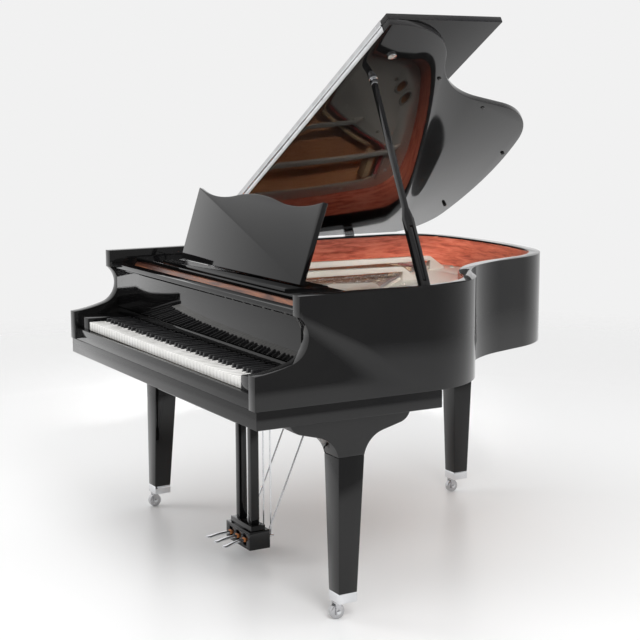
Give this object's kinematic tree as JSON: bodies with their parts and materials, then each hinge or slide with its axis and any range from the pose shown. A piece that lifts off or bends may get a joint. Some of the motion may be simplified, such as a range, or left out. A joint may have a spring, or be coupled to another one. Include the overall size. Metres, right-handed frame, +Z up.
{
  "type": "grand piano",
  "caption": "Black lacquered baby grand piano with raised lid on a prop, music desk, full keyboard, iron plate and strings, pedal lyre and casters.",
  "frame": {"origin": "floor level under the middle of the piano's bounding box", "axes": "+X to the player's right (treble side), +Y from the keyboard to the tail, +Z up"},
  "size_m": [1.5114, 1.564, 1.7754],
  "materials": {
    "black_lacquer": "black high-gloss lacquer",
    "maple": "plain wood",
    "mahogany_veneer": "satin red-brown veneer",
    "spruce": "satin varnished spruce",
    "bronzed_iron": "pale bronze paint",
    "string_steel": "bright steel",
    "action_metal": "satin",
    "damper_black": "satin black",
    "chrome": "polished",
    "brass": "polished",
    "caster_metal": "polished",
    "key_white": "gloss white",
    "key_black": "satin black"
  },
  "bodies": {
    "case": {"rim": "black_lacquer", "inner_rim": "maple", "rim_veneer": "mahogany_veneer", "case_braces": "maple", "keybed": "black_lacquer", "key_slip": "black_lacquer", "cheek_blocks": "black_lacquer", "pin_block": "maple", "soundboard": "spruce", "plate": "bronzed_iron", "bridges": "maple", "strings": "string_steel", "tuning_pins": "string_steel", "legs": "black_lacquer", "leg_brackets": "black_lacquer", "leg_ferrules": "chrome", "lyre_board": "black_lacquer", "lyre_posts": "black_lacquer", "pedal_box": "black_lacquer", "lyre_braces": "chrome", "music_shelf": "black_lacquer", "lid_hinges": "chrome", "prop_bracket": "chrome"},
    "action": {"key_frame": "maple", "action_rails": "action_metal", "hammers": "maple", "wippens": "maple"},
    "key_c": {"key_c": "key_white"},
    "key_c_sharp": {"key_c_sharp": "key_black"},
    "key_d": {"key_d": "key_white"},
    "key_d_sharp": {"key_d_sharp": "key_black"},
    "key_e": {"key_e": "key_white"},
    "key_f": {"key_f": "key_white"},
    "key_f_sharp": {"key_f_sharp": "key_black"},
    "key_g": {"key_g": "key_white"},
    "key_g_sharp": {"key_g_sharp": "key_black"},
    "key_a": {"key_a": "key_white"},
    "key_a_sharp": {"key_a_sharp": "key_black"},
    "key_b": {"key_b": "key_white"},
    "dampers": {"dampers": "damper_black"},
    "pedal_left": {"pedal_left": "brass"},
    "pedal_rod_left": {"pedal_rod_left": "chrome"},
    "pedal_middle": {"pedal_middle": "brass"},
    "pedal_rod_middle": {"pedal_rod_middle": "chrome"},
    "pedal_right": {"pedal_right": "brass"},
    "pedal_rod_right": {"pedal_rod_right": "chrome"},
    "fallboard": {"fallboard": "black_lacquer"},
    "desk_tray": {"desk_tray": "black_lacquer"},
    "music_desk": {"music_desk": "black_lacquer"},
    "desk_stay": {"desk_stay": "black_lacquer"},
    "lid": {"lid": "black_lacquer", "lid_fittings": "chrome"},
    "lid_flap": {"lid_flap": "black_lacquer"},
    "prop": {"prop_stick": "black_lacquer"},
    "caster_fork_front_left": {"caster_fork_front_left": "chrome"},
    "caster_wheel_front_left": {"caster_wheel_front_left": "caster_metal"},
    "caster_fork_front_right": {"caster_fork_front_right": "chrome"},
    "caster_wheel_front_right": {"caster_wheel_front_right": "caster_metal"},
    "caster_fork_rear": {"caster_fork_rear": "chrome"},
    "caster_wheel_rear": {"caster_wheel_rear": "caster_metal"}
  },
  "joints": [
    {"name": "action_shift", "type": "slide", "parent": "case", "child": "action", "axis": [1, 0, 0], "range_m": [0, 0.003]},
    {"name": "key_c_press", "type": "hinge", "parent": "action", "child": "key_c", "pos_m": [0, -0.538, 0.716], "axis": [1, 0, 0], "range_deg": [0, 2.6], "stiffness_Nm_per_rad": 8, "springref_deg": -5.73},
    {"name": "key_c_sharp_press", "type": "hinge", "parent": "action", "child": "key_c_sharp", "pos_m": [0, -0.538, 0.716], "axis": [1, 0, 0], "range_deg": [0, 2.6], "stiffness_Nm_per_rad": 8, "springref_deg": -5.73},
    {"name": "key_d_press", "type": "hinge", "parent": "action", "child": "key_d", "pos_m": [0, -0.538, 0.716], "axis": [1, 0, 0], "range_deg": [0, 2.6], "stiffness_Nm_per_rad": 8, "springref_deg": -5.73},
    {"name": "key_d_sharp_press", "type": "hinge", "parent": "action", "child": "key_d_sharp", "pos_m": [0, -0.538, 0.716], "axis": [1, 0, 0], "range_deg": [0, 2.6], "stiffness_Nm_per_rad": 8, "springref_deg": -5.73},
    {"name": "key_e_press", "type": "hinge", "parent": "action", "child": "key_e", "pos_m": [0, -0.538, 0.716], "axis": [1, 0, 0], "range_deg": [0, 2.6], "stiffness_Nm_per_rad": 8, "springref_deg": -5.73},
    {"name": "key_f_press", "type": "hinge", "parent": "action", "child": "key_f", "pos_m": [0, -0.538, 0.716], "axis": [1, 0, 0], "range_deg": [0, 2.6], "stiffness_Nm_per_rad": 8, "springref_deg": -5.73},
    {"name": "key_f_sharp_press", "type": "hinge", "parent": "action", "child": "key_f_sharp", "pos_m": [0, -0.538, 0.716], "axis": [1, 0, 0], "range_deg": [0, 2.6], "stiffness_Nm_per_rad": 8, "springref_deg": -5.73},
    {"name": "key_g_press", "type": "hinge", "parent": "action", "child": "key_g", "pos_m": [0, -0.538, 0.716], "axis": [1, 0, 0], "range_deg": [0, 2.6], "stiffness_Nm_per_rad": 8, "springref_deg": -5.73},
    {"name": "key_g_sharp_press", "type": "hinge", "parent": "action", "child": "key_g_sharp", "pos_m": [0, -0.538, 0.716], "axis": [1, 0, 0], "range_deg": [0, 2.6], "stiffness_Nm_per_rad": 8, "springref_deg": -5.73},
    {"name": "key_a_press", "type": "hinge", "parent": "action", "child": "key_a", "pos_m": [0, -0.538, 0.716], "axis": [1, 0, 0], "range_deg": [0, 2.6], "stiffness_Nm_per_rad": 8, "springref_deg": -5.73},
    {"name": "key_a_sharp_press", "type": "hinge", "parent": "action", "child": "key_a_sharp", "pos_m": [0, -0.538, 0.716], "axis": [1, 0, 0], "range_deg": [0, 2.6], "stiffness_Nm_per_rad": 8, "springref_deg": -5.73},
    {"name": "key_b_press", "type": "hinge", "parent": "action", "child": "key_b", "pos_m": [0, -0.538, 0.716], "axis": [1, 0, 0], "range_deg": [0, 2.6], "stiffness_Nm_per_rad": 8, "springref_deg": -5.73},
    {"name": "damper_lift", "type": "slide", "parent": "case", "child": "dampers", "axis": [0, 0, 1], "range_m": [0, 0.005]},
    {"name": "pedal_left_press", "type": "hinge", "parent": "case", "child": "pedal_left", "pos_m": [-0.052, -0.433, 0.066], "axis": [1, 0, 0], "range_deg": [0, 7], "stiffness_Nm_per_rad": 12, "springref_deg": -2.86},
    {"name": "pedal_rod_left_lift", "type": "slide", "parent": "case", "child": "pedal_rod_left", "axis": [0, 0, 1], "range_m": [0, 0.0079]},
    {"name": "pedal_middle_press", "type": "hinge", "parent": "case", "child": "pedal_middle", "pos_m": [0, -0.433, 0.066], "axis": [1, 0, 0], "range_deg": [0, 7], "stiffness_Nm_per_rad": 12, "springref_deg": -2.86},
    {"name": "pedal_rod_middle_lift", "type": "slide", "parent": "case", "child": "pedal_rod_middle", "axis": [0, 0, 1], "range_m": [0, 0.0079]},
    {"name": "pedal_right_press", "type": "hinge", "parent": "case", "child": "pedal_right", "pos_m": [0.052, -0.433, 0.066], "axis": [1, 0, 0], "range_deg": [0, 7], "stiffness_Nm_per_rad": 12, "springref_deg": -2.86},
    {"name": "pedal_rod_right_lift", "type": "slide", "parent": "case", "child": "pedal_rod_right", "axis": [0, 0, 1], "range_m": [0, 0.0079]},
    {"name": "fallboard_close", "type": "hinge", "parent": "case", "child": "fallboard", "pos_m": [0, -0.597, 0.79], "axis": [1, 0, 0], "range_deg": [0, 88]},
    {"name": "desk_slide", "type": "slide", "parent": "case", "child": "desk_tray", "axis": [0, 1, 0], "range_m": [-0.09, 0]},
    {"name": "desk_fold", "type": "hinge", "parent": "desk_tray", "child": "music_desk", "pos_m": [0, -0.453, 0.9616], "axis": [-1, 0, 0], "range_deg": [0, 55]},
    {"name": "desk_stay_fold", "type": "hinge", "parent": "desk_tray", "child": "desk_stay", "pos_m": [0, -0.392, 0.9651], "axis": [-1, 0, 0], "range_deg": [0, 106.5]},
    {"name": "lid_raise", "type": "hinge", "parent": "case", "child": "lid", "pos_m": [-0.7523, 0, 0.981], "axis": [0, -1, 0], "range_deg": [0, 20]},
    {"name": "flap_fold", "type": "hinge", "parent": "lid", "child": "lid_flap", "pos_m": [-0.76252, -0.2215, 0.99848], "axis": [0.8634, 0, 0.5045], "range_deg": [0, 145]},
    {"name": "prop_fold", "type": "hinge", "parent": "case", "child": "prop", "pos_m": [0.684, -0.176, 0.962], "axis": [0, -0.9964, 0.0853], "range_deg": [0, 55]},
    {"name": "caster_swivel_front_left", "type": "hinge", "parent": "case", "child": "caster_fork_front_left", "pos_m": [-0.689, -0.465, 0.05], "axis": [0, 0, 1], "continuous": true},
    {"name": "caster_roll_front_left", "type": "hinge", "parent": "caster_fork_front_left", "child": "caster_wheel_front_left", "pos_m": [-0.689, -0.487, 0.023], "axis": [1, 0, 0], "continuous": true},
    {"name": "caster_swivel_front_right", "type": "hinge", "parent": "case", "child": "caster_fork_front_right", "pos_m": [0.689, -0.465, 0.05], "axis": [0, 0, 1], "continuous": true},
    {"name": "caster_roll_front_right", "type": "hinge", "parent": "caster_fork_front_right", "child": "caster_wheel_front_right", "pos_m": [0.689, -0.487, 0.023], "axis": [1, 0, 0], "continuous": true},
    {"name": "caster_swivel_rear", "type": "hinge", "parent": "case", "child": "caster_fork_rear", "pos_m": [-0.29, 0.624, 0.05], "axis": [0, 0, 1], "continuous": true},
    {"name": "caster_roll_rear", "type": "hinge", "parent": "caster_fork_rear", "child": "caster_wheel_rear", "pos_m": [-0.29, 0.602, 0.023], "axis": [1, 0, 0], "continuous": true}
  ],
  "couplings": [
    {"joint": "pedal_left_press", "follows": "action_shift", "rad_per_m": 40.684},
    {"joint": "pedal_rod_left_lift", "follows": "action_shift", "ratio": 2.5656},
    {"joint": "pedal_rod_middle_lift", "follows": "pedal_middle_press", "m_per_rad": 0.063},
    {"joint": "pedal_rod_right_lift", "follows": "pedal_right_press", "m_per_rad": 0.063},
    {"joint": "damper_lift", "follows": "pedal_right_press", "m_per_rad": 0.04},
    {"joint": "desk_stay_fold", "follows": "desk_fold", "ratio": 1.93}
  ]
}
